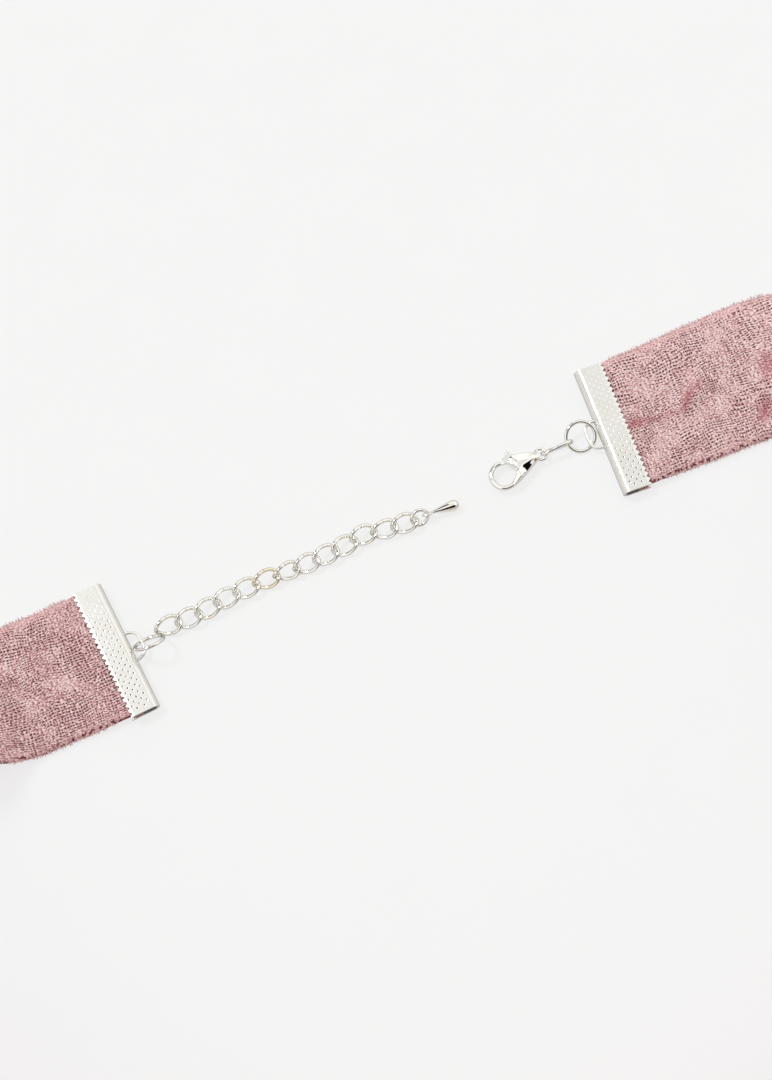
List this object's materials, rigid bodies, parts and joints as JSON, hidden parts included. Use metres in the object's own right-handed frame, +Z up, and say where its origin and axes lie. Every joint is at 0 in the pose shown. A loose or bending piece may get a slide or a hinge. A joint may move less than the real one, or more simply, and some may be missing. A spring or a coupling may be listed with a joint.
{
  "type": "choker necklace",
  "caption": "Crushed velvet ribbon choker with toothed ribbon crimps, a lobster clasp and a curb extender chain with a drop, lying open.",
  "frame": {"origin": "middle of the choker's box, on the table it lies on", "axes": "+X along the line of the clasp, from the extender chain's end of the ribbon to the clasp's end; +Z up from the table, along the ribbon's width where it stands on its edge; the loop goes round on the -Y side"},
  "size_m": [0.1942, 0.1114, 0.0206],
  "materials": {
    "velvet_ribbon": "crushed stretch velvet, dusty rose",
    "crimp_plate": "bright silver plate over stamped steel",
    "ring_wire": "bright silver plate over wire",
    "chain_wire": "bright silver plate over wire",
    "warm_chain_wire": "silver plate worn to a warm tint",
    "clasp_metal": "bright silver plate over a casting",
    "lever_metal": "bright silver plate over a casting",
    "pin_metal": "bright silver plate over steel",
    "drop_metal": "bright silver plate over a casting"
  },
  "bodies": {
    "choker": {"ribbon": "velvet_ribbon", "ribbon_end_clasp": "crimp_plate", "ribbon_end_chain": "crimp_plate", "jump_ring_clasp": "ring_wire", "clasp_link": "chain_wire", "clasp_body": "clasp_metal", "lever_pin": "pin_metal", "jump_ring_chain": "ring_wire", "chain_link_01": "chain_wire", "chain_link_02": "chain_wire", "chain_link_03": "chain_wire", "chain_link_04": "chain_wire", "chain_link_05": "chain_wire", "chain_link_06": "warm_chain_wire", "chain_link_07": "chain_wire", "chain_link_08": "chain_wire", "chain_link_09": "chain_wire", "chain_link_10": "chain_wire", "chain_link_11": "chain_wire", "chain_link_12": "chain_wire", "chain_link_13": "chain_wire", "jump_ring_drop": "ring_wire", "drop": "drop_metal"},
    "lever": {"clasp_lever": "lever_metal"}
  },
  "joints": [
    {"name": "lever_hinge", "type": "hinge", "parent": "choker", "child": "lever", "pos_m": [0.02792, 0.04571, 0.00117], "axis": [0, 0, 1], "range_deg": [0, 25], "stiffness_Nm_per_rad": 0.002, "springref_deg": -14.32}
  ]
}
